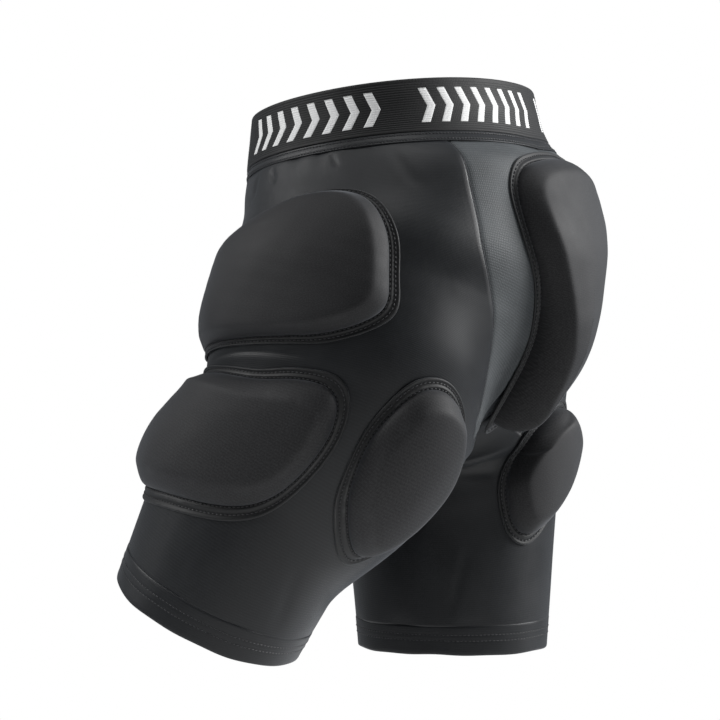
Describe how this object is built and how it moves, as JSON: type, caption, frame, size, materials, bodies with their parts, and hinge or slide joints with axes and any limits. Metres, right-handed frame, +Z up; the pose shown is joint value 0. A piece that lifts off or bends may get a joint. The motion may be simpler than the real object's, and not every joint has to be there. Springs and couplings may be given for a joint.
{
  "type": "padded impact shorts",
  "caption": "Padded impact shorts: stretch shell with an elastic waistband and foam pads on hips, thighs, backs of thighs and seat. Both thighs swing at the hips.",
  "frame": {"origin": "middle of the waist opening, level with the waistband's top edge at the sides", "axes": "+Z up, the front of the shorts faces -Y and the wearer's left is +X"},
  "size_m": [0.3814, 0.3445, 0.4425],
  "materials": {
    "shell_spandex": "dark charcoal stretch nylon and spandex, slight satin sheen",
    "seat_spandex": "lighter grey textured stretch knit",
    "elastic": "black woven elastic webbing",
    "white_print": "plain white woven marks",
    "pad_knit": "black fine-grained stretch knit over the pads",
    "eva_foam": "dark closed-cell foam",
    "thread": "black polyester sewing thread"
  },
  "bodies": {
    "pelvis": {"crotch_gusset": "shell_spandex", "left_hip_pad_binding": "pad_knit", "left_hip_pad_cover": "pad_knit", "left_hip_pad_foam": "eva_foam", "left_hip_pad_stitching": "thread", "left_hip_panel": "shell_spandex", "left_seat_panel": "seat_spandex", "left_seat_seam_stitching": "thread", "right_hip_pad_binding": "pad_knit", "right_hip_pad_cover": "pad_knit", "right_hip_pad_foam": "eva_foam", "right_hip_pad_stitching": "thread", "right_hip_panel": "shell_spandex", "right_seat_panel": "seat_spandex", "right_seat_seam_stitching": "thread", "seat_pad_binding": "pad_knit", "seat_pad_cover": "pad_knit", "seat_pad_foam": "eva_foam", "seat_pad_stitching": "thread", "waist_seam_tape": "shell_spandex", "waist_stitching": "thread", "waistband_elastic": "elastic", "waistband_marks": "white_print"},
    "left_leg": {"left_hamstring_pad_binding": "pad_knit", "left_hamstring_pad_cover": "pad_knit", "left_hamstring_pad_foam": "eva_foam", "left_hamstring_pad_stitching": "thread", "left_hem_stitching": "thread", "left_hip_stretch_zone": "shell_spandex", "left_leg_hem": "shell_spandex", "left_leg_panel": "shell_spandex", "left_thigh_pad_binding": "pad_knit", "left_thigh_pad_cover": "pad_knit", "left_thigh_pad_foam": "eva_foam", "left_thigh_pad_stitching": "thread"},
    "right_leg": {"right_hamstring_pad_binding": "pad_knit", "right_hamstring_pad_cover": "pad_knit", "right_hamstring_pad_foam": "eva_foam", "right_hamstring_pad_stitching": "thread", "right_hem_stitching": "thread", "right_hip_stretch_zone": "shell_spandex", "right_leg_hem": "shell_spandex", "right_leg_panel": "shell_spandex", "right_thigh_pad_binding": "pad_knit", "right_thigh_pad_cover": "pad_knit", "right_thigh_pad_foam": "eva_foam", "right_thigh_pad_stitching": "thread"}
  },
  "joints": [
    {"name": "left_hip_swing", "type": "hinge", "parent": "pelvis", "child": "left_leg", "pos_m": [0.088, 0, -0.162], "axis": [-1, 0, 0], "range_deg": [-36, 8], "deforming": ["left_hip_stretch_zone", "left_thigh_pad_foam", "left_thigh_pad_cover", "left_thigh_pad_binding", "left_thigh_pad_stitching"]},
    {"name": "right_hip_swing", "type": "hinge", "parent": "pelvis", "child": "right_leg", "pos_m": [-0.088, 0, -0.162], "axis": [-1, 0, 0], "range_deg": [-8, 36], "deforming": ["right_hip_stretch_zone", "right_thigh_pad_foam", "right_thigh_pad_cover", "right_thigh_pad_binding", "right_thigh_pad_stitching"]}
  ]
}
